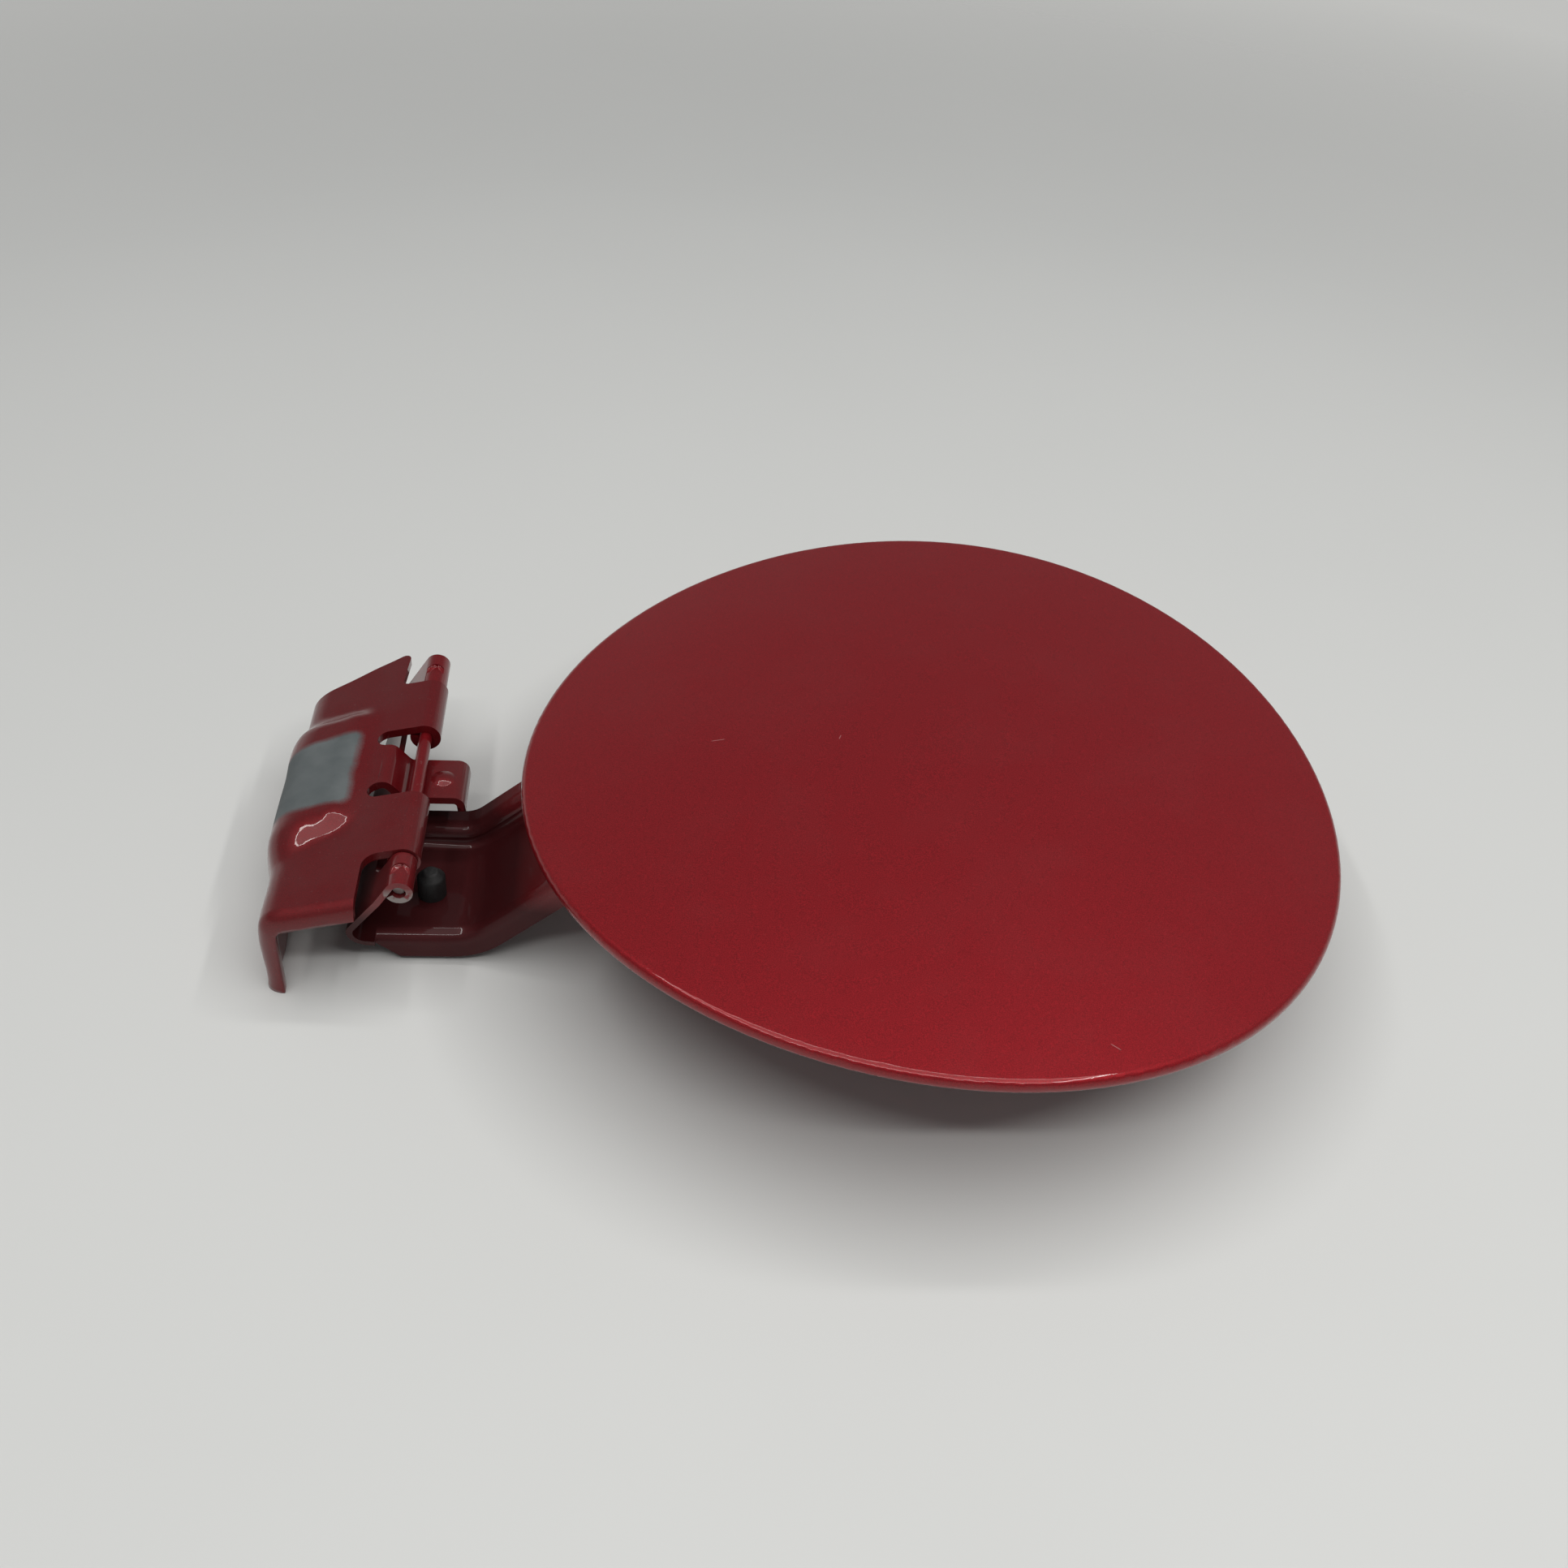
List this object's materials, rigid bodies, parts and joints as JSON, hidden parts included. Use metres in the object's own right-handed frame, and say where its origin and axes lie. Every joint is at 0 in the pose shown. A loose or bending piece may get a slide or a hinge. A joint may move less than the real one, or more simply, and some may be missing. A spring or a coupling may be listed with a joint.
{
  "type": "fuel filler flap",
  "caption": "Round painted fuel filler flap on a gooseneck arm, hinged by a staked pin to a stamped steel bracket with a raised bolting pad and a stop tongue.",
  "frame": {"origin": "middle of the two bolt holes, on the bracket's mounting face", "axes": "+X from the mounting face towards the latch side of the flap, +Y along the hinge pin, +Z out of the car body when the flap is closed"},
  "size_m": [0.2207, 0.17, 0.0379],
  "materials": {
    "red_paint": "deep red metallic paint under clear coat",
    "red_paint_inner": "thinner red metallic paint on the hidden side",
    "red_paint_bracket": "red metallic paint with a bare grey primer patch on the pad",
    "pin_paint": "red paint over steel, worn bare at the ends",
    "black_rubber": "matt black moulded rubber",
    "striker_paint": "red paint over steel"
  },
  "bodies": {
    "bracket": {"hinge_bracket": "red_paint_bracket"},
    "flap": {"outer_panel": "red_paint", "inner_panel": "red_paint_inner", "hinge_pin": "pin_paint", "stop_buffer": "black_rubber", "latch_striker": "striker_paint"}
  },
  "joints": [
    {"name": "flap_hinge", "type": "hinge", "parent": "bracket", "child": "flap", "pos_m": [0.0288, 0, 0.015], "axis": [0, -1, 0], "range_deg": [0, 90]}
  ]
}
